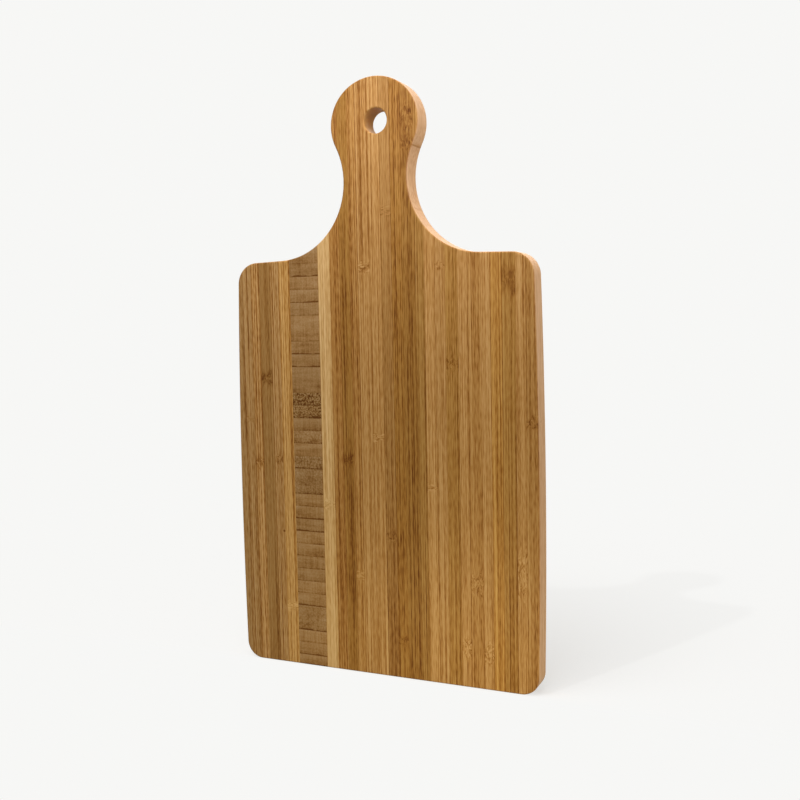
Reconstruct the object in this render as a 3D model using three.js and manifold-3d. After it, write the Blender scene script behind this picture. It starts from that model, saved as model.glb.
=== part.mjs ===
// Bamboo bread board with a paddle handle, standing on its bottom edge.
// The board is glued up from upright strips, with one column of end-grain blocks let in.
// The panel is then cut to a paddle outline, eased along its edges and drilled for hanging.
// Millimetres. X runs across the board, Y through its thickness, Z up along its length.
import * as THREE from "three";
import { mergeVertices } from "three/addons/utils/BufferGeometryUtils.js";
import Module from "manifold-3d";

const wasm = await Module();
wasm.setup();

// The finished board
const LENGTH = 380;
const THICKNESS = 15;
const EDGE_EASE = 1;
const EASE_STEPS = 3;

// Paddle outline; half widths are taken from the centre line
const BODY_HALF = 103.5;
const FOOT_CORNER = 11.4;
const SHOULDER_TAPER = 1.2;
const SHOULDER_CORNER = 14.2;
const SHOULDER_FALL = THREE.MathUtils.degToRad(1.8);
const SIDE_RADIUS = 4720;
const NECK_RADIUS = 48;
const WAIST_HALF = 21.9;
const OUTLINE_STEPS = 14;

// Round end of the handle: side arcs whose centres stand apart, and a crown that is flatter than they are
const BULB_RADIUS = 28.1;
const BULB_SPREAD = 1.85;
const CROWN_EXTRA = 3.7;

// Hanging hole in the round end of the handle, drilled a little to the right of its middle
const HOLE_RADIUS = 7.8;
const HOLE_FROM_TOP = 27.3;
const HOLE_OFF_CENTRE = 1.1;
const HOLE_STEPS = 24;

// Column of end-grain blocks: a low first row, rows at one pitch, and a top row cut to the shoulder
const INLAY_WIDTH = 21.05;
const FIRST_BLOCK = 6.95;
const TOP_BLOCK = 3.1;
const BLOCK_ROWS = 33;
const CLOSED_JOINTS = [3, 14, 22, 26];

// The handle's strips reach past its round end by these, and the blond strip and the inlay follow
const HANDLE_LEFT_SPARE = 2.9;
const HANDLE_RIGHT_SPARE = 2.5;
const BLOND_WIDTH = 8.7;

// Upright strips, each with its tone and its share of the row that it lies in
const HANDLE_STRIPS = [
  { tone: "umber", share: 7.15 },
  { tone: "umber", share: 7.25 },
  { tone: "tan", share: 5.75 },
  { tone: "wheat", share: 8.25 },
  { tone: "wheat", share: 8 },
  { tone: "umber", share: 7.25 },
  { tone: "umber", share: 7.25 },
  { tone: "umber", share: 8.4 },
  { tone: "tan", share: 6.2 },
];
const RIGHT_STRIPS = [
  { tone: "wheat", share: 6.9 },
  { tone: "wheat", share: 6.75 },
  { tone: "tan", share: 8.25 },
  { tone: "wheat", share: 6.25 },
  { tone: "tan", share: 8.45 },
  { tone: "wheat", share: 6.3 },
  { tone: "wheat", share: 7 },
  { tone: "tan", share: 8.6 },
  { tone: "wheat", share: 6.15 },
];
const RIGHT_EDGE_STRIP = { tone: "tan", share: 7.8 };
const LEFT_STRIPS = [
  { tone: "honey", share: 8.5 },
  { tone: "tan", share: 6.75 },
  { tone: "umber", share: 8.25 },
  { tone: "tan", share: 6.25 },
  { tone: "tan", share: 7 },
];
const LEFT_EDGE_STRIP = { tone: "tan", share: 5.5 };

// Colours and finish of the bamboo
function bamboo(colour, roughness) {
  return new THREE.MeshStandardMaterial({ color: colour, roughness, metalness: 0 });
}

const MATERIALS = {
  umber: bamboo(0x875b29, 0.5),
  tan: bamboo(0x976b38, 0.5),
  wheat: bamboo(0xa57942, 0.48),
  honey: bamboo(0xa47940, 0.48),
  blond: bamboo(0xb5905c, 0.46),
  endGrain: bamboo(0x86623a, 0.62),
};

// Heights and centres that the outline, the hole and the strips share
function paddleLayout() {
  const crownZ = LENGTH - BULB_RADIUS - CROWN_EXTRA;
  const bulbZ = crownZ + Math.sqrt(CROWN_EXTRA ** 2 - BULB_SPREAD ** 2);
  const bulbHalf = BULB_RADIUS + BULB_SPREAD;
  const holeZ = LENGTH - HOLE_FROM_TOP;
  const neckX = WAIST_HALF + NECK_RADIUS;
  const neckReach = neckX - BULB_SPREAD;
  const neckZ = bulbZ - Math.sqrt((BULB_RADIUS + NECK_RADIUS) ** 2 - neckReach ** 2);

  // The shoulder falls away outwards, square to this normal
  const normal = new THREE.Vector2(Math.sin(SHOULDER_FALL), Math.cos(SHOULDER_FALL));
  const hollowEnd = new THREE.Vector2(neckX, neckZ).addScaledVector(normal, -NECK_RADIUS);

  // Corner circles, and the long side arc that touches both of them
  const foot = new THREE.Vector2(BODY_HALF - FOOT_CORNER, FOOT_CORNER);
  const topX = BODY_HALF - SHOULDER_TAPER - SHOULDER_CORNER;
  const drop = SHOULDER_CORNER + (topX - hollowEnd.x) * normal.x;
  const top = new THREE.Vector2(topX, hollowEnd.y - drop / normal.y);
  const rise = top.clone().sub(foot);
  const span = rise.length();
  const footReach = SIDE_RADIUS - FOOT_CORNER;
  const topReach = SIDE_RADIUS - SHOULDER_CORNER;
  const along = (footReach ** 2 - topReach ** 2 + span ** 2) / (2 * span);
  const across = Math.sqrt(footReach ** 2 - along ** 2);
  rise.normalize();
  const side = foot.clone().addScaledVector(rise, along);
  side.addScaledVector(new THREE.Vector2(-rise.y, rise.x), across);
  return { crownZ, bulbZ, bulbHalf, holeZ, neckX, neckZ, hollowEnd, foot, top, side };
}

const layout = paddleLayout();

// Right half of the outline, from the bottom edge up to the top of the handle
function halfOutline() {
  const { crownZ, bulbZ, neckX, neckZ, hollowEnd, foot, top, side } = layout;
  const quarter = Math.PI / 2;
  const bulbTurn = Math.atan2(bulbZ - neckZ, neckX - BULB_SPREAD);
  const crownTurn = Math.acos(BULB_SPREAD / CROWN_EXTRA);
  const footAngle = Math.atan2(foot.y - side.y, foot.x - side.x);
  const topAngle = Math.atan2(top.y - side.y, top.x - side.x);
  const path = new THREE.Path();
  path.moveTo(foot.x, 0);
  path.absarc(foot.x, foot.y, FOOT_CORNER, -quarter, footAngle, false);
  path.absarc(side.x, side.y, SIDE_RADIUS, footAngle, topAngle, false);
  path.absarc(top.x, top.y, SHOULDER_CORNER, topAngle, quarter - SHOULDER_FALL, false);
  path.lineTo(hollowEnd.x, hollowEnd.y);
  path.absarc(neckX, neckZ, NECK_RADIUS, -quarter - SHOULDER_FALL, Math.PI - bulbTurn, true);
  path.absarc(BULB_SPREAD, bulbZ, BULB_RADIUS, -bulbTurn, crownTurn, false);
  path.absarc(0, crownZ, BULB_RADIUS + CROWN_EXTRA, crownTurn, quarter, false);
  return path.getPoints(OUTLINE_STEPS);
}

// Whole outline, mirrored about the centre line, with the hanging hole
function boardShape() {
  const right = halfOutline();
  right[right.length - 1].x = 0;
  const rest = right.slice(0, -1).reverse();
  const left = rest.map((p) => new THREE.Vector2(-p.x, p.y));
  const shape = new THREE.Shape([...right, ...left]);
  const circle = new THREE.Path();
  circle.absarc(HOLE_OFF_CENTRE, layout.holeZ, HOLE_RADIUS, 0, 2 * Math.PI, true);
  shape.holes.push(new THREE.Path(circle.getPoints(HOLE_STEPS).slice(0, -1)));
  return shape;
}

function toSolid(geometry) {
  geometry.deleteAttribute("normal");
  geometry.deleteAttribute("uv");
  const merged = mergeVertices(geometry, 1e-4);
  const vertProperties = new Float32Array(merged.attributes.position.array);
  const triVerts = new Uint32Array(merged.index.array);
  return new wasm.Manifold(new wasm.Mesh({ numProp: 3, vertProperties, triVerts }));
}

function toGeometry(solid) {
  const mesh = solid.getMesh();
  const geometry = new THREE.BufferGeometry();
  geometry.setAttribute("position", new THREE.BufferAttribute(mesh.vertProperties, 3));
  geometry.setIndex(new THREE.BufferAttribute(mesh.triVerts, 1));
  geometry.computeVertexNormals();
  return geometry;
}

// The glued-up panel after cutting, drilling and easing, as one block
function finishedPanel() {
  const geometry = new THREE.ExtrudeGeometry(boardShape(), {
    depth: THICKNESS - 2 * EDGE_EASE,
    bevelEnabled: true,
    bevelThickness: EDGE_EASE,
    bevelSize: EDGE_EASE,
    bevelOffset: -EDGE_EASE,
    bevelSegments: EASE_STEPS,
    curveSegments: 1,
  });
  geometry.rotateX(Math.PI / 2);
  geometry.translate(0, THICKNESS / 2 - EDGE_EASE, 0);
  return toSolid(geometry);
}

const panel = finishedPanel();

// Widest reach of the outline, and limits of the cuts, clear of the board all round
const EDGE = layout.side.x + SIDE_RADIUS;
const OUTSIDE = EDGE + THICKNESS;
const BELOW = -THICKNESS;
const ABOVE = LENGTH + THICKNESS;

// Box between two glue planes in X and two levels in Z, right through the thickness
function slab(x0, x1, z0, z1) {
  const geometry = new THREE.BoxGeometry(1, 1, 1);
  const corners = geometry.attributes.position;
  for (let i = 0; i < corners.count; i += 1) {
    const x = corners.getX(i) < 0 ? x0 : x1;
    const y = corners.getY(i) < 0 ? -THICKNESS : THICKNESS;
    const z = corners.getZ(i) < 0 ? z0 : z1;
    corners.setXYZ(i, x, y, z);
  }
  return toSolid(geometry);
}

function piece(name, tone, x0, x1, z0, z1) {
  const solid = panel.intersect(slab(x0, x1, z0, z1));
  const mesh = new THREE.Mesh(toGeometry(solid), MATERIALS[tone]);
  mesh.name = name;
  return mesh;
}

function numbered(stem, n) {
  return `${stem}_${String(n).padStart(2, "0")}`;
}

// One strip: whole, or in two lengths where the neck or the hanging hole cuts it through
function strip(name, tone, x0, x1) {
  const inBulb = x0 < layout.bulbHalf && x1 > -layout.bulbHalf;
  const inWaist = x0 < WAIST_HALF && x1 > -WAIST_HALF;
  const inHole = x0 >= HOLE_OFF_CENTRE - HOLE_RADIUS && x1 <= HOLE_OFF_CENTRE + HOLE_RADIUS;
  if (inHole || (inBulb && !inWaist)) {
    const level = inHole ? layout.holeZ : layout.neckZ;
    const body = piece(name, tone, x0, x1, BELOW, level);
    return [body, piece(`${name}_handle_end`, tone, x0, x1, level, ABOVE)];
  }
  return [piece(name, tone, x0, x1, BELOW, ABOVE)];
}

// Strips side by side from x0 to x1, numbered from first, that share the room between them
function stripRow(stem, list, first, x0, x1, edgeShare = 0) {
  const total = list.reduce((sum, { share }) => sum + share, edgeShare);
  const row = [];
  let x = x0;
  list.forEach(({ tone, share }, i) => {
    const next = x + ((x1 - x0) * share) / total;
    const name = numbered(`${stem}_strip`, first + i);
    row.push(...strip(name, tone, Math.min(x, next), Math.max(x, next)));
    x = next;
  });
  return { row, end: x };
}

// A row that ends in an edge strip, which the outline then cuts to its curve
function outerRow(stem, edgeName, edge, list, first, x0, way) {
  const { row, end } = stripRow(stem, list, first, x0, way * EDGE, edge.share);
  const out = way * OUTSIDE;
  return [...row, ...strip(edgeName, edge.tone, Math.min(end, out), Math.max(end, out))];
}

// Height of the shoulder or of the neck's hollow curve above a point of the bottom edge
function shoulderHeight(x) {
  const { hollowEnd, neckX, neckZ } = layout;
  const reach = Math.abs(x);
  if (reach > hollowEnd.x) return hollowEnd.y - (reach - hollowEnd.x) * Math.tan(SHOULDER_FALL);
  return neckZ - Math.sqrt(NECK_RADIUS ** 2 - (neckX - reach) ** 2);
}

// End-grain blocks from the bottom edge to the shoulder
function inlayBlocks(x0, x1) {
  const pitches = BLOCK_ROWS - 2;
  const pitch = (shoulderHeight(x0) - FIRST_BLOCK - TOP_BLOCK) / pitches;
  const levels = [BELOW];
  for (let k = 0; k <= pitches; k += 1) {
    if (!CLOSED_JOINTS.includes(k)) levels.push(FIRST_BLOCK + k * pitch);
  }
  levels.push(ABOVE);
  return levels.slice(1).map((high, i) => {
    return piece(numbered("inlay_block", i + 1), "endGrain", x0, x1, levels[i], high);
  });
}

// Glue planes between the rows
const handleLeft = -(layout.bulbHalf + HANDLE_LEFT_SPARE);
const handleRight = layout.bulbHalf + HANDLE_RIGHT_SPARE;
const blondLeft = handleLeft - BLOND_WIDTH;
const inlayLeft = blondLeft - INLAY_WIDTH;
const rightFirst = HANDLE_STRIPS.length + 1;

const board = new THREE.Group();
board.name = "bread_board";
board.add(...outerRow("left", "left_edge_strip", LEFT_EDGE_STRIP, LEFT_STRIPS, 1, inlayLeft, -1));
board.add(...inlayBlocks(inlayLeft, blondLeft));
board.add(...strip("blond_strip", "blond", blondLeft, handleLeft));
board.add(...stripRow("main", HANDLE_STRIPS, 1, handleLeft, handleRight).row);
board.add(
  ...outerRow("main", "right_edge_strip", RIGHT_EDGE_STRIP, RIGHT_STRIPS, rightFirst, handleRight, 1),
);

export default board;
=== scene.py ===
import math

import bpy
from mathutils import Matrix, Vector


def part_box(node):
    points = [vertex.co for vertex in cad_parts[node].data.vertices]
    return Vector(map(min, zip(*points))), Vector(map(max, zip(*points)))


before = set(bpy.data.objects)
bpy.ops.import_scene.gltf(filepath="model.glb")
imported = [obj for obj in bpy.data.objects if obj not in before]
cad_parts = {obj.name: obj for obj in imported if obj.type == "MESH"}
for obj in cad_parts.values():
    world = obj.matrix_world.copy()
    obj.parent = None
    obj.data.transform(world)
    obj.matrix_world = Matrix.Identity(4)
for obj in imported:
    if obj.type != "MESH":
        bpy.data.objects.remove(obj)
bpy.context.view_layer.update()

MM = 0.001

# Names in the frame: the inlay's blocks, and what ends the name of a strip's loose end
BLOCK_NAME = "inlay_block"
HANDLE_END_NAME = "_handle_end"
BLOCKS = len([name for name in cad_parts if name.startswith(BLOCK_NAME)])

# Camera: lens and place that match the photograph's view of the board
IMAGE_SIZE = 800
FOCAL_PIXELS = 989.3
SENSOR_MM = 36
CAMERA_TURN = 24.0
CAMERA_RISE = 4.72
CAMERA_ROLL = -1.07
CAMERA_DISTANCE = 620.5
CAMERA_TARGET = Vector((14.76, -7.63, 179.4))
CLIP_NEAR = 10
CLIP_FAR = 100000

# Light levels: 1 lights a surface that faces the lamp so that its colour shows as written
AMBIENT_LEVEL = 0.22

# Lamps far away: turn to the right, rise and spread in degrees, and level
KEY_SUN = (-26, 47, 1.5, 0.08)
SOFT_SUN = (-12, 64, 46, 0.40)

# Lamps far away that light the board alone, so that the floor keeps one soft shadow
BOARD_SUNS = {
    "right_high_sun": (75, 40, 50, 0.16),
    "right_low_sun": (85, 12, 60, 0.28),
    "back_sun": (200, 35, 60, 0.45),
}

# Panel lamps beside the board: place, the point they face, width and height, level there, tint
COOL = (1.0, 1.01, 1.21)
WARM = (1.0, 0.97, 0.78)
PANEL_LAMPS = {
    "top_lamp": (Vector((28, -160, 420)), Vector((0, 0, 335)), 160, 160, 1.13, COOL),
    "high_lamp": (Vector((60, -260, 560)), Vector((0, 0, 335)), 240, 240, 0.07, COOL),
    "top_right_lamp": (Vector((230, -70, 390)), Vector((20, 0, 335)), 140, 140, 0.36, COOL),
    "low_lamp": (Vector((70, -120, 20)), Vector((70, 0, 20)), 180, 40, 0.54, WARM),
    "low_side_lamp": (Vector((230, -60, 30)), Vector((105, 0, 40)), 60, 60, 0.14, WARM),
}

# Background, and the floor that runs out into it
BACKGROUND = (0.930, 0.930, 0.916)
FLOOR_HALF = 20000
FLOOR_DROP = 0.2
FLOOR_TONE = (0.45, 0.45, 0.44)

# Shadow on the floor: strength, reach round the board, and the depths between which it sets in
FLOOR_SHADE = 0.52
SHADE_FULL_TO = 420
SHADE_GONE_AT = 700
SHADE_IN_FRONT = -14
SHADE_BEHIND = 4

# Bamboo tones as seen in plain light, in screen values from 0 to 255
TONES = {
    "umber": (138, 94, 36),
    "russet": (145, 101, 46),
    "tan": (150, 106, 50),
    "ash": (150, 110, 59),
    "amber": (158, 112, 49),
    "wheat": (163, 119, 62),
    "honey": (165, 122, 63),
    "blond": (183, 145, 89),
    "end_grain": (137, 102, 58),
    "open_grain": (137, 99, 51),
}
# Wall colour round the outline: partly the wood's paler side, partly painted sheen
WALL_TONE_AND_SHEEN = (200, 156, 110)
# Painted shade and warm bounce on the wall of the hanging hole
HOLE_SHADE_TONE = (186, 137, 72)

# How green and blue follow red as the wood goes from dark fibres to pale ones
GREEN_SWING = 1.5
BLUE_SWING = 2.6

# From dark to pale: lightness, and the tone's brightness there
FACE_RAMP = [(0.0, 0.40), (0.25, 0.72), (0.5, 1.0), (0.75, 1.19), (1.0, 1.31)]
WALL_RAMP = [(0.0, 0.86), (0.5, 1.0), (1.0, 1.06)]
BLOCK_RAMP = [(0.0, 0.42), (0.25, 0.76), (0.5, 1.0), (0.75, 1.18), (1.0, 1.38)]

# Satin finish: roughness of dark and of pale wood, depth of the relief, and gloss
STRIP_ROUGHNESS = (0.60, 0.48)
BLOCK_ROUGHNESS = (0.70, 0.58)
STRIP_RELIEF = 0.12
BLOCK_RELIEF = 0.15
RELIEF_STRENGTH = 0.35
SPECULAR_LEVEL = 0.12

# How squarely a surface faces front or back: a wall up to the first share, a face from the second
WALL_TO_FACE = (0.35, 0.9)

# The hanging hole, whose wall is painted browner and darker than the outer walls: painted shade and
# warm bounce inside the hole
HOLE_X = 1.1
HOLE_Z = 352.7
HOLE_REACH = 9
HOLE_GONE_AT = 9.9
HOLE_STRIPS = ["main_strip_04", "main_strip_05", "main_strip_06"]

# How strongly the fibres show in each tone, and the tone that is also mottled
GRAIN_CONTRAST = {
    "umber": 1.2,
    "russet": 1.1,
    "tan": 1.05,
    "ash": 1.15,
    "amber": 0.90,
    "wheat": 0.80,
    "honey": 1.0,
    "blond": 0.55,
}
MOTTLED_TONE = "umber"

# Each strip's tone, its brightness, and how much darker it grows towards its right side
STRIP_LOOKS = {
    "left_edge_strip": ("ash", 1.1, 0.1),
    "left_strip_05": ("ash", 1.2, -0.3),
    "left_strip_04": ("ash", 1.45, 0.2),
    "left_strip_03": ("tan", 0.9, 0.3),
    "left_strip_02": ("ash", 1.25, -0.2),
    "left_strip_01": ("honey", 1.25, -0.1),
    "blond_strip": ("blond", 1.15, 0.2),
    "main_strip_01": ("russet", 1.2, 0.3),
    "main_strip_02": ("umber", 1.05, -0.5),
    "main_strip_03": ("tan", 1.15, 0.2),
    "main_strip_04": ("wheat", 1.05, 0.2),
    "main_strip_05": ("wheat", 1.05, -0.5),
    "main_strip_06": ("russet", 1.0, -0.3),
    "main_strip_07": ("umber", 1.1, -0.1),
    "main_strip_08": ("umber", 1.0, 0.3),
    "main_strip_09": ("amber", 0.85, 0.3),
    "main_strip_10": ("wheat", 1.1, 0.4),
    "main_strip_11": ("wheat", 1.05, 0.2),
    "main_strip_12": ("amber", 0.95, 0.5),
    "main_strip_13": ("wheat", 1.1, 0.1),
    "main_strip_14": ("tan", 1.15, 0.4),
    "main_strip_15": ("wheat", 1.1, 0.2),
    "main_strip_16": ("amber", 1.15, 0.3),
    "main_strip_17": ("amber", 0.95, 0.4),
    "main_strip_18": ("wheat", 1.1, 0.2),
    "right_edge_strip": ("tan", 1.1, 0.3),
}
LEAN_SWING = 0.12

# Strips that are paler or darker in the handle than in the body
HANDLE_LIFTS = {"main_strip_02": 0.18, "main_strip_04": -0.10, "main_strip_06": 0.06}
HANDLE_FROM = 250
HANDLE_TO = 300

# Fibres: cells per metre across, through and along the strip, octaves, and swing in lightness
GRAIN = {
    "bands": (330, 160, 4, 1, 0.06),
    "lines": (1350, 600, 3, 1, 1.40),
    "strands": (1450, 660, 10, 1, 0.85),
    "flecks": (1500, 680, 55, 1, 0.60),
    "dashes": (1500, 700, 220, 0, 0.60),
    "drift": (20, 20, 16, 1, 0.18),
}
MOTTLE = (150, 90, 32, 2, 0.60)
NOISE_ROUGHNESS = 0.6

# Sway of the fibres, and how far it moves them
SWAY = (90, 90, 9, 1)
SWAY_REACH = 1.0

# Thin dark threads among the fibres: the wave's share where one starts and is full, and its depth
THREADS = (1150, 520, 5, 1)
THREAD_FROM = 0.58
THREAD_FULL = 0.70
THREAD_DEPTH = 0.14

# Glue lines at the sides of each strip
GLUE_CORE = 0.05
GLUE_RIM = 0.45
GLUE_DEPTH = 0.20

# Nodes of the bamboo, where the fibres are short and crossed: height, reach, shade, and kind
NODE_MARKS = {
    "left_strip_01": [(39.6, 4, 0.14, "ripple")],
    "left_strip_02": [(138.3, 4, -0.22, "smudge")],
    "left_strip_03": [(192.5, 5, -0.28, "smudge")],
    "left_strip_04": [(135.7, 5, -0.22, "smudge")],
    "left_strip_05": [(164.5, 3, -0.03, "faint")],
    "blond_strip": [(110, 5, -0.03, "faint")],
    "main_strip_02": [(140, 6, -0.28, "smudge")],
    "main_strip_03": [(64.5, 4, 0.16, "ripple")],
    "main_strip_04": [(263, 5, 0.0, "ripple")],
    "main_strip_05": [(155, 3, 0.05, "ripple")],
    "main_strip_06": [(92, 5, -0.16, "smudge"), (297.5, 5, 0.05, "ripple")],
    "main_strip_07": [(25, 5, -0.2, "smudge")],
    "main_strip_08": [(337, 5, -0.12, "smudge"), (353, 10, -0.06, "wavy")],
    "main_strip_10": [(125, 3, 0.06, "ripple")],
    "main_strip_11": [(262, 3, -0.10, "smudge")],
    "main_strip_12": [(202, 6, -0.16, "smudge")],
    "main_strip_13": [(25, 7, -0.04, "scribble")],
    "main_strip_14": [(66, 8, -0.02, "scribble")],
    "main_strip_15": [(24, 8, -0.02, "scribble")],
    "main_strip_17": [(252, 10, -0.26, "soft")],
    "main_strip_18": [(76, 17, -0.02, "wavy")],
    "right_edge_strip": [(167, 5, -0.13, "smudge")],
}

# Kinds of node: cells per metre across and along, how far they curl, and swing in lightness
NODE_KINDS = {
    "ripple": (280, 820, 1.0, 2.3),
    "smudge": (560, 360, 1.0, 1.7),
    "faint": (420, 420, 1.0, 0.9),
    "soft": (420, 160, 1.0, 1.2),
    "scribble": (420, 240, 2.4, 2.2),
    "wavy": (480, 130, 2.2, 2.2),
}

# A node's patch: ragged ends, its least and most length in reaches, its soft rim, its strokes
RAGGED = (520, 300, 14, 1)
RAGGED_FROM = 0.25
RAGGED_TO = 0.75
PATCH_SHORT = 0.35
PATCH_LONG = 1.5
PATCH_CORE = 0.35
PATCH_RIM = 1.1
STROKES_THROUGH = 300
STROKE_OCTAVES = 2.0
FIBRES_KEPT = 0.45

# A node that shows as a thin line on the wall of one strip
WALL_LINE_STRIP = "main_strip_08"
WALL_LINE_Z = 336
WALL_LINE_CORE = 0.2
WALL_LINE_RIM = 0.8
WALL_LINE_SHADE = 0.66

# A pinhole in one strip, painted as a dark spot: painted shade in a hole that the shape doesn't have
PINHOLE_STRIP = "left_strip_02"
PINHOLE_X = -71.9
PINHOLE_Z = 90
PINHOLE_RADIUS = 0.95
PINHOLE_CORE = PINHOLE_RADIUS / 2

# End-grain blocks: lightness at foot and top, brightness up the column, and how blocks differ
BLOCK_LIGHT = (0.40, 0.60)
FOOT_BLOCK_LEVEL = 1.29
TOP_BLOCK_LEVEL = 1.16
BLOCK_LEAST = 0.95
BLOCK_SPREAD = 0.10
SPREAD_STEP = 0.618

# Cells of the end grain per metre, the blocks where they are open, and how strongly they show
CELLS = (880, 60, 880)
OPEN_BLOCKS = {4: 0.5, 14: 0.6, 15: 0.85, 17: 0.65, 19: 1.7, 20: 2.0}
CLOSE_CELLS = 0.3

# Cells that show more than this have a warmer tone, and all cells take some brightness away
WIDE_OPEN = 1
CLOSED_LEVEL = 1.03
CELL_DROP = 0.15

# Layers of the end grain: as for the fibres, and then what the block's seed is multiplied by
BLOCK_GRAIN = {
    "saw_lines": (1000, 300, 26, 1, 0.50, 2.7),
    "layers": (45, 60, 380, 2, 0.70, 1.4),
    "patches": (90, 90, 130, 1, 0.45, 0.6),
}

# Joint at the foot of a block: a wavy line of uneven weight, darker under some blocks
DARK_JOINTS = [2, 4, 5, 11, 12, 14, 15, 19, 20, 22, 23, 26, 28]
DARK_JOINT_DEPTH = 0.58
JOINT_DEPTH = 0.22
JOINT_WAVE = (160, 160, 40, 2)
JOINT_MIDDLE = 0.35
JOINT_RISE = 1.9
JOINT_CORE = 0.15
JOINT_RIM = 0.8
JOINT_UNEVEN = (0.2, 0.75)
JOINT_WEIGHTS = (0.35, 1.0)

# Seeds that keep the noise of each piece, layer and node apart
STRIP_SEED_STEP = 5.3
BLOCK_SEED_STEP = 3.7
GRAIN_SEED_STEP = 11.9
NODE_SEED_STEP = 7.7
MOTTLE_SEED = 71.3
THREAD_SEED = 83.1
SWAY_SEED_TIMES = 1.3
JOINT_SEED_TIMES = 4.1
SEED_SPREAD = (1.0, 0.37, 2.1)
STROKE_OFFSET = (9.7, 1.3)

# Smooth shading: how near corners are joined, how level an outline edge is, and a crisp angle
JOIN_WITHIN = 0.002
LEVEL_WITHIN = 0.001
CRISP_ANGLE = 20


def screen(colour):
    """A screen colour, 0 to 255, as linear values with full alpha."""
    shares = [c / 255 for c in colour]
    linear = [s / 12.92 if s <= 0.04045 else ((s + 0.055) / 1.055) ** 2.4 for s in shares]
    return (*linear, 1.0)


def scaled(colour, factor):
    """A linear colour made lighter or darker."""
    return (*[c * factor for c in colour[:3]], colour[3])


def shaded(colour, factor):
    """A linear colour made lighter or darker as bamboo is: dark fibres warm, pale fibres greyer."""
    red, green, blue, alpha = colour
    return (red * factor, green * factor ** GREEN_SWING, blue * factor ** BLUE_SWING, alpha)


class Net:
    """Adds nodes to one node tree. A socket given as an input is linked, a value is typed in."""

    def __init__(self, tree):
        self.tree = tree
        tree.nodes.clear()

    def node(self, kind, inputs=None, **settings):
        """A new node with its settings and inputs."""
        made = self.tree.nodes.new(kind)
        for key, value in settings.items():
            setattr(made, key, value)
        for key, value in (inputs or {}).items():
            if isinstance(value, bpy.types.NodeSocket):
                self.tree.links.new(value, made.inputs[key])
            else:
                made.inputs[key].default_value = value
        return made

    def math(self, operation, a, b=0.0, clamp=False):
        """The result of one operation on numbers."""
        made = self.node("ShaderNodeMath", {0: a, 1: b}, operation=operation, use_clamp=clamp)
        return made.outputs[0]

    def swing(self, light, wave, amount):
        """A lightness moved up and down by a wave that is 0.5 on average."""
        ends = {0: self.math("SUBTRACT", wave, 0.5), 1: amount, 2: light}
        return self.node("ShaderNodeMath", ends, operation="MULTIPLY_ADD").outputs[0]

    def between(self, value, low, high, to_low=0.0, to_high=1.0, way="SMOOTHSTEP"):
        """A value taken from one range to another, as a smooth step or in line."""
        ends = {"Value": value, 1: low, 2: high, 3: to_low, 4: to_high}
        return self.node("ShaderNodeMapRange", ends, interpolation_type=way).outputs[0]

    def fade(self, off, core, rim):
        """1 up to a distance in millimetres, and 0 from a second one on."""
        return self.between(off, core * MM, rim * MM, 1.0, 0.0)

    def mix(self, share, a, b):
        """A colour that goes from a to b."""
        ends = {0: share, 6: a, 7: b}
        return self.node("ShaderNodeMix", ends, data_type="RGBA").outputs[2]

    def mix_values(self, share, a, b):
        """A number that goes from a to b."""
        ends = {0: share, 2: a, 3: b}
        return self.node("ShaderNodeMix", ends, data_type="FLOAT").outputs[0]

    def mix_shaders(self, share, a, b):
        """A shader that goes from a to b."""
        return self.node("ShaderNodeMixShader", {0: share, 1: a, 2: b}).outputs[0]

    def shader(self, kind, colour):
        """A shader of one colour."""
        return self.node(kind, {"Color": (*colour, 1.0)}).outputs[0]

    def parts(self, vector):
        """The three numbers of a vector."""
        return self.node("ShaderNodeSeparateXYZ", {0: vector}).outputs

    def stretched(self, place, across, through, along, offset):
        """The place in cells per metre along each axis, moved off by an offset."""
        ends = {0: place, 1: (across, through, along), 2: offset}
        return self.node("ShaderNodeVectorMath", ends, operation="MULTIPLY_ADD").outputs[0]

    def noise(self, place, detail, distortion=0.0):
        """Soft noise about 0.5, with cells one unit wide."""
        ends = {"Vector": place, "Scale": 1.0, "Detail": detail, "Roughness": NOISE_ROUGHNESS}
        ends["Distortion"] = distortion
        return self.node("ShaderNodeTexNoise", ends).outputs[0]

    def ramp(self, value, stops):
        """A colour by value, through stops of value and colour."""
        made = self.node("ShaderNodeValToRGB", {0: value})
        points = made.color_ramp.elements
        while len(points) < len(stops):
            points.new(1.0)
        for point, (place, colour) in zip(points, stops):
            point.position = place
            point.color = colour
        return made.outputs[0]


def new_material(name):
    """A material with an empty net, and the place on the piece that it colours."""
    material = bpy.data.materials.new(name)
    material.use_nodes = True
    net = Net(material.node_tree)
    place = net.node("ShaderNodeTexCoord").outputs["Object"]
    return material, net, place


def tone_ramp(net, light, tone, stops):
    """The tone's colour at each lightness, from its dark fibres to its pale ones."""
    return net.ramp(light, [(place, shaded(tone, factor)) for place, factor in stops])


def finish_surface(net, colour, light, roughness, depth):
    """Satin oiled wood with fine relief."""
    ends = {"Height": light, "Strength": RELIEF_STRENGTH, "Distance": depth * MM}
    relief = net.node("ShaderNodeBump", ends).outputs[0]
    ends = {"Base Color": colour, "Specular IOR Level": SPECULAR_LEVEL, "Normal": relief}
    ends["Roughness"] = net.between(light, 0.0, 1.0, *roughness)
    shader = net.node("ShaderNodeBsdfPrincipled", ends).outputs[0]
    net.node("ShaderNodeOutputMaterial", {"Surface": shader})


def off_face(net):
    """0 on the two broad faces and 1 on the walls round the edge and in the hole."""
    normal = net.node("ShaderNodeNewGeometry").outputs["Normal"]
    facing = net.math("ABSOLUTE", net.parts(normal)[1])
    return net.between(facing, *WALL_TO_FACE, 1.0, 0.0)


def seed_offset(seed):
    """The place in the noise that belongs to a seed."""
    return tuple(seed * share for share in SEED_SPREAD)


def wave_along(net, place, seed, sizes):
    """Noise in cells of the given sizes, stretched along the strip."""
    across, through, along, octaves = sizes
    return net.noise(net.stretched(place, across, through, along, seed_offset(seed)), octaves)


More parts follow.
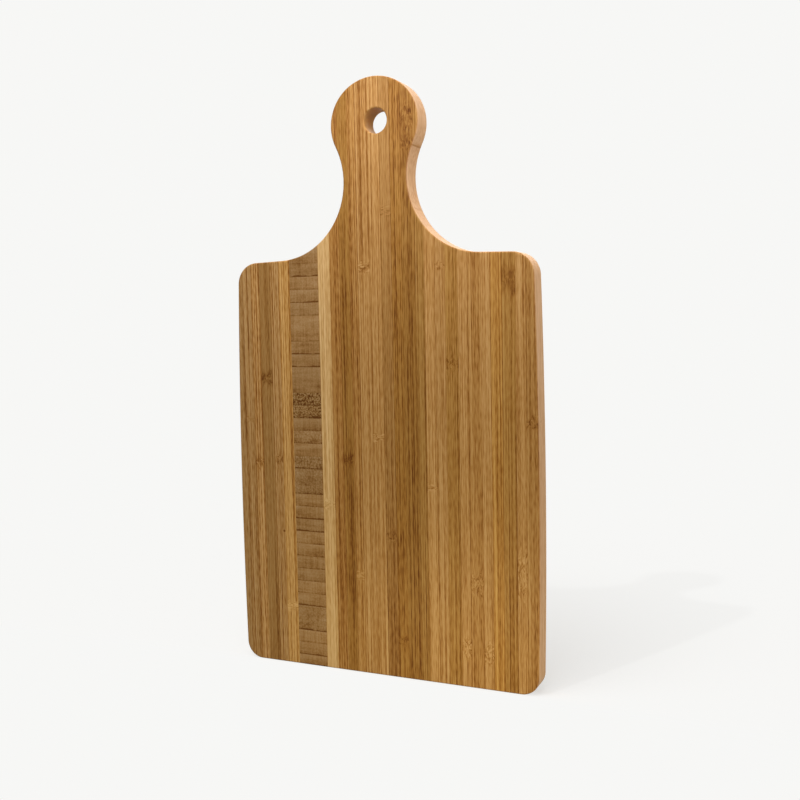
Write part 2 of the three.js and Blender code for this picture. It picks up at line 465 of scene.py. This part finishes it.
def straight_fibres(net, place, seed, mottled):
    """Lightness of fibres that run up the strip, about 0.5 on average."""
    sway = wave_along(net, place, seed * SWAY_SEED_TIMES, SWAY)
    shift = net.math("MULTIPLY", net.math("SUBTRACT", sway, 0.5), SWAY_REACH * MM)
    bent = net.node("ShaderNodeCombineXYZ", {0: shift}).outputs[0]
    fibre = net.node("ShaderNodeVectorMath", {0: place, 1: bent}, operation="ADD").outputs[0]
    light = 0.5
    for i, (*sizes, swing) in enumerate(GRAIN.values()):
        light = net.swing(light, wave_along(net, fibre, seed + GRAIN_SEED_STEP * i, sizes), swing)
    if mottled:
        *sizes, swing = MOTTLE
        light = net.swing(light, wave_along(net, place, seed + MOTTLE_SEED, sizes), swing)
    threads = wave_along(net, fibre, seed + THREAD_SEED, THREADS)
    drop = net.between(threads, THREAD_FROM, THREAD_FULL, 0.0, THREAD_DEPTH)
    return net.math("SUBTRACT", light, drop)


def crossed_fibres(net, place, parts, light, seed, mark):
    """The lightness with one node of the bamboo in it: a ragged patch of short crossed fibres."""
    height, reach, shade, kind = mark
    across, along, curl, depth = NODE_KINDS[kind]
    off = net.math("ABSOLUTE", net.math("SUBTRACT", parts[2], height * MM))
    ragged = wave_along(net, place, seed, RAGGED)
    least = reach * PATCH_SHORT * MM
    most = reach * PATCH_LONG * MM
    limit = net.between(ragged, RAGGED_FROM, RAGGED_TO, least, most)
    share = net.between(net.math("DIVIDE", off, limit), PATCH_CORE, PATCH_RIM, 1.0, 0.0)
    spots = net.stretched(place, across, STROKES_THROUGH, along, (seed, *STROKE_OFFSET))
    crossed = net.swing(0.5 + shade, net.noise(spots, STROKE_OCTAVES, curl), depth)
    crossed = net.swing(crossed, light, FIBRES_KEPT)
    return net.mix_values(share, light, crossed)


def distance_from(net, parts, x, z):
    """How far a point of the board's face is from a place on it."""
    across = net.math("SUBTRACT", parts[0], x * MM)
    up = net.math("SUBTRACT", parts[2], z * MM)
    squares = net.math("ADD", net.math("MULTIPLY", across, across), net.math("MULTIPLY", up, up))
    return net.math("SQRT", squares)


def pinhole(net, parts):
    """1 in the pinhole, where its shade is painted, and 0 round it."""
    return net.fade(distance_from(net, parts, PINHOLE_X, PINHOLE_Z), PINHOLE_CORE, PINHOLE_RADIUS)


def glue_line(net, across, sides):
    """How much darker the wood is beside the glue at both sides of a strip."""
    from_left = net.math("SUBTRACT", across, sides[0])
    from_right = net.math("SUBTRACT", sides[1], across)
    side = net.math("MINIMUM", from_left, from_right)
    return net.between(side, GLUE_CORE * MM, GLUE_RIM * MM, GLUE_DEPTH, 0.0)


def strip_light(net, place, parts, name, seed):
    """Lightness of a strip: its fibres, lean and lift, with its nodes, the pinhole's painted shade and
    glue lines.
    """
    tone, brightness, lean = STRIP_LOOKS[name]
    low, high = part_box(name)
    sides = (low.x, high.x)
    fibres = straight_fibres(net, place, seed, tone == MOTTLED_TONE)
    light = net.swing(0.5, fibres, GRAIN_CONTRAST[tone])
    slope = net.between(parts[0], *sides, lean * LEAN_SWING, -lean * LEAN_SWING, "LINEAR")
    light = net.math("ADD", light, slope)
    if name in HANDLE_LIFTS:
        lift = net.between(parts[2], HANDLE_FROM * MM, HANDLE_TO * MM, 0.0, HANDLE_LIFTS[name])
        light = net.math("ADD", light, lift)
    for i, mark in enumerate(NODE_MARKS.get(name, [])):
        light = crossed_fibres(net, place, parts, light, seed + NODE_SEED_STEP * i, mark)
    if name == PINHOLE_STRIP:
        # Painted shade: the pinhole is darkened in the colour
        light = net.math("SUBTRACT", light, pinhole(net, parts))
    return net.math("SUBTRACT", light, glue_line(net, parts[0], sides), clamp=True)


def wall_colour(net, parts, name, light):
    """Paler colour on the walls round the edge, partly the wood's own and partly painted sheen, and
    painted shade in the hanging hole.
    """
    # Partly painted sheen: the walls take a paler, greyer colour than the faces
    pale = screen(WALL_TONE_AND_SHEEN)
    wall = tone_ramp(net, light, pale, WALL_RAMP)
    if name == WALL_LINE_STRIP:
        off = net.math("ABSOLUTE", net.math("SUBTRACT", parts[2], WALL_LINE_Z * MM))
        line = net.fade(off, WALL_LINE_CORE, WALL_LINE_RIM)
        wall = net.mix(line, wall, shaded(pale, WALL_LINE_SHADE))
    # Painted shade: the wall is made darker and browner near the hanging hole
    if name in HOLE_STRIPS:
        near = net.fade(distance_from(net, parts, HOLE_X, HOLE_Z), HOLE_REACH, HOLE_GONE_AT)
        wall = net.mix(near, wall, screen(HOLE_SHADE_TONE))
    return wall


def strip_material(name, seed):
    """Bamboo with its fibres along the strip, in a tone of its own."""
    material, net, place = new_material(name)
    parts = net.parts(place)
    tone, brightness, lean = STRIP_LOOKS[name]
    light = strip_light(net, place, parts, name, seed)
    face = tone_ramp(net, light, scaled(screen(TONES[tone]), brightness), FACE_RAMP)
    colour = net.mix(off_face(net), face, wall_colour(net, parts, name, light))
    finish_surface(net, colour, light, STRIP_ROUGHNESS, STRIP_RELIEF)
    return material


def joint_line(net, place, height, seed, foot, depth):
    """How much darker the joint at a block's foot is, along a wavy line of uneven weight."""
    wave = wave_along(net, place, seed * JOINT_SEED_TIMES, JOINT_WAVE)
    rise = net.math("MULTIPLY", net.math("SUBTRACT", wave, JOINT_MIDDLE), JOINT_RISE * MM)
    off = net.math("SUBTRACT", net.math("SUBTRACT", height, foot), rise)
    line = net.fade(net.math("ABSOLUTE", off), JOINT_CORE, JOINT_RIM)
    weight = net.between(wave, *JOINT_UNEVEN, *JOINT_WEIGHTS)
    return net.math("MULTIPLY", net.math("MULTIPLY", line, weight), depth)


def block_light(net, place, name, number, seed, cells):
    """Lightness of a block: paler to its top, with cells, saw lines, layers and a joint line."""
    low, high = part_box(name)
    height = net.parts(place)[2]
    light = net.between(height, low.z, high.z, *BLOCK_LIGHT)
    spots = net.stretched(place, *CELLS, seed_offset(seed))
    gaps = net.node("ShaderNodeTexVoronoi", {"Vector": spots, "Scale": 1.0}).outputs["Distance"]
    light = net.swing(light, gaps, -cells)
    for *sizes, swing, times in BLOCK_GRAIN.values():
        light = net.swing(light, wave_along(net, place, seed * times, sizes), swing)
    depth = DARK_JOINT_DEPTH if number in DARK_JOINTS else JOINT_DEPTH
    joint = joint_line(net, place, height, seed, low.z, depth)
    return net.math("SUBTRACT", light, joint, clamp=True)


def block_brightness(number, seed, cells):
    """Brightness by the block's place in the column, a share of its own, and how open its cells are."""
    level = FOOT_BLOCK_LEVEL + (TOP_BLOCK_LEVEL - FOOT_BLOCK_LEVEL) * number / BLOCKS
    own = BLOCK_LEAST + BLOCK_SPREAD * ((seed * SPREAD_STEP) % 1.0)
    return level * own * (CLOSED_LEVEL - CELL_DROP * cells)


def block_material(name):
    """End grain in layers with saw lines, with wide open cells in some blocks."""
    material, net, place = new_material(name)
    number = int(name[-2:])
    seed = BLOCK_SEED_STEP * number
    cells = OPEN_BLOCKS.get(number, CLOSE_CELLS)
    tone = screen(TONES["open_grain" if cells > WIDE_OPEN else "end_grain"])
    light = block_light(net, place, name, number, seed, cells)
    bright = scaled(tone, block_brightness(number, seed, cells))
    colour = tone_ramp(net, light, bright, BLOCK_RAMP)
    finish_surface(net, colour, light, BLOCK_ROUGHNESS, BLOCK_RELIEF)
    return material


def crisp_edges(net):
    """1 on steep edges and on edges round the outline, which keep to one depth in the board."""
    angle = net.node("GeometryNodeInputMeshEdgeAngle").outputs[0]
    steep = net.math("GREATER_THAN", angle, math.radians(CRISP_ANGLE))
    ends = net.node("GeometryNodeInputMeshEdgeVertices").outputs
    corners = {0: ends["Position 1"], 1: ends["Position 2"]}
    span = net.node("ShaderNodeVectorMath", corners, operation="SUBTRACT").outputs[0]
    depths = {0: net.parts(span)[1], 1: 0.0, 2: LEVEL_WITHIN * MM}
    level = net.node("ShaderNodeMath", depths, operation="COMPARE").outputs[0]
    return net.math("MAXIMUM", steep, level)


def smooth_shading():
    """Modifier tree that joins split corners and shades curved walls smooth."""
    group = bpy.data.node_groups.new("smooth_walls", "GeometryNodeTree")
    for way in ("INPUT", "OUTPUT"):
        group.interface.new_socket("Geometry", in_out=way, socket_type="NodeSocketGeometry")
    net = Net(group)
    ends = {0: net.node("NodeGroupInput").outputs[0], "Distance": JOIN_WITHIN * MM}
    joined = net.node("GeometryNodeMergeByDistance", ends).outputs[0]
    ends = {0: joined, "Shade Smooth": True}
    smooth = net.node("GeometryNodeSetShadeSmooth", ends, domain="FACE").outputs[0]
    ends = {0: smooth, "Selection": crisp_edges(net), "Shade Smooth": False}
    crisp = net.node("GeometryNodeSetShadeSmooth", ends, domain="EDGE").outputs[0]
    net.node("NodeGroupOutput", {0: crisp})
    return group


def dress_board():
    """Gives each strip and block its material and smooth walls. A handle end shares its strip's."""
    smooth = smooth_shading()
    made = {}
    for i, (name, node) in enumerate(sorted(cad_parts.items())):
        whole = name.removesuffix(HANDLE_END_NAME)
        if whole not in made:
            if whole.startswith(BLOCK_NAME):
                made[whole] = block_material(whole)
            else:
                made[whole] = strip_material(whole, STRIP_SEED_STEP * i)
        node.data.materials.clear()
        node.data.materials.append(made[whole])
        modifier = node.modifiers.new("smooth_walls", "NODES")
        modifier.node_group = smooth


def direction(turn, rise):
    """Unit vector from the board towards a place, by its turn to the right and its rise."""
    a = math.radians(turn)
    e = math.radians(rise)
    return Vector((math.sin(a) * math.cos(e), -math.cos(a) * math.cos(e), math.sin(e)))


def add_object(name, data):
    """A new object in the scene."""
    made = bpy.data.objects.new(name, data)
    bpy.context.scene.collection.objects.link(made)
    return made


def add_sun(name, turn, rise, spread, level, lit=None):
    """A lamp far away, which lights only what is in a collection if one is given."""
    lamp = bpy.data.lights.new(name, "SUN")
    lamp.energy = level * math.pi
    lamp.angle = math.radians(spread)
    made = add_object(name, lamp)
    made.rotation_mode = "QUATERNION"
    made.rotation_quaternion = direction(turn, rise).to_track_quat("Z", "Y")
    made.light_linking.receiver_collection = lit


def add_panel_lamp(name, place, aim, width, height, level, tint, lit):
    """A flat lamp near the board that gives a level at its aim, for a surface turned to it."""
    lamp = bpy.data.lights.new(name, "AREA")
    lamp.shape = "RECTANGLE"
    lamp.size = width * MM
    lamp.size_y = height * MM
    reach = (place - aim) * MM
    lamp.energy = level * math.pi ** 2 * reach.length_squared
    lamp.color = tint
    made = add_object(name, lamp)
    made.location = place * MM
    made.rotation_mode = "QUATERNION"
    made.rotation_quaternion = reach.to_track_quat("Z", "Y")
    made.visible_camera = False
    made.light_linking.receiver_collection = lit


def add_lights():
    """Two suns for everything, and the other lamps for the board alone."""
    lit = bpy.data.collections.new("board")
    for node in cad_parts.values():
        lit.objects.link(node)
    add_sun("key_sun", *KEY_SUN)
    add_sun("soft_sun", *SOFT_SUN)
    for name, sun in BOARD_SUNS.items():
        add_sun(name, *sun, lit)
    for name, lamp in PANEL_LAMPS.items():
        add_panel_lamp(name, *lamp, lit)


def background_share(net):
    """1 for rays that see the background itself, 0 for rays that carry its light."""
    path = net.node("ShaderNodeLightPath").outputs
    seen = net.math("MAXIMUM", path["Is Camera Ray"], path["Is Glossy Ray"])
    return net.math("MAXIMUM", seen, path["Is Transmission Ray"])


def add_world():
    """Even ambient light, in front of a pale background."""
    world = bpy.data.worlds.new("studio")
    bpy.context.scene.world = world
    world.use_nodes = True
    net = Net(world.node_tree)
    ambient = (AMBIENT_LEVEL,) * 3 + (1.0,)
    colour = net.mix(background_share(net), ambient, (*BACKGROUND, 1.0))
    shader = net.node("ShaderNodeBackground", {"Color": colour})
    net.node("ShaderNodeOutputWorld", {"Surface": shader.outputs[0]})


def shadow_share(net, place):
    """1 on the floor near and behind the board, where its shadow shows, and 0 elsewhere."""
    away = net.node("ShaderNodeVectorMath", {0: place}, operation="LENGTH").outputs["Value"]
    near = net.fade(away, SHADE_FULL_TO, SHADE_GONE_AT)
    behind = net.between(net.parts(place)[1], SHADE_IN_FRONT * MM, SHADE_BEHIND * MM)
    return net.math("MULTIPLY", near, behind)


def floor_material():
    """A floor seen as the background, less the light that the board keeps off it."""
    material, net, place = new_material("pale_floor")
    light = AMBIENT_LEVEL
    for turn, rise, spread, level in (KEY_SUN, SOFT_SUN):
        light += level * math.sin(math.radians(rise))
    own = net.shader("ShaderNodeEmission", [c - FLOOR_SHADE * light for c in BACKGROUND])
    taken = net.shader("ShaderNodeBsdfDiffuse", [FLOOR_SHADE] * 3)
    shadowed = net.node("ShaderNodeAddShader", {0: own, 1: taken}).outputs[0]
    plain = net.shader("ShaderNodeEmission", BACKGROUND)
    seen = net.mix_shaders(shadow_share(net, place), plain, shadowed)
    pale = net.shader("ShaderNodeBsdfDiffuse", FLOOR_TONE)
    whole = net.mix_shaders(background_share(net), pale, seen)
    net.node("ShaderNodeOutputMaterial", {"Surface": whole})
    return material


def add_floor():
    """A pale floor that runs out into the background and takes a faint shadow behind the board."""
    half = FLOOR_HALF * MM
    drop = -FLOOR_DROP * MM
    corners = [(-half, -half, drop), (half, -half, drop), (half, half, drop), (-half, half, drop)]
    mesh = bpy.data.meshes.new("floor")
    mesh.from_pydata(corners, [], [(0, 1, 2, 3)])
    mesh.materials.append(floor_material())
    floor = add_object("floor", mesh)


def add_camera():
    """The camera at the photograph's place, turned to its target and rolled."""
    camera = bpy.data.cameras.new("camera")
    camera.sensor_width = SENSOR_MM
    camera.lens = FOCAL_PIXELS / IMAGE_SIZE * SENSOR_MM
    camera.clip_start = CLIP_NEAR * MM
    camera.clip_end = CLIP_FAR * MM
    made = add_object("camera", camera)
    back = direction(CAMERA_TURN, CAMERA_RISE)
    right = Vector((0, 0, 1)).cross(back).normalized()
    up = back.cross(right)
    turn = Matrix((right, up, back)).transposed().to_4x4()
    roll = Matrix.Rotation(math.radians(CAMERA_ROLL), 4, "Z")
    spot = (CAMERA_TARGET + back * CAMERA_DISTANCE) * MM
    made.matrix_world = Matrix.Translation(spot) @ turn @ roll
    bpy.context.scene.camera = made


dress_board()
add_lights()
add_world()
add_floor()
add_camera()
bpy.context.scene.view_settings.view_transform = "Standard"
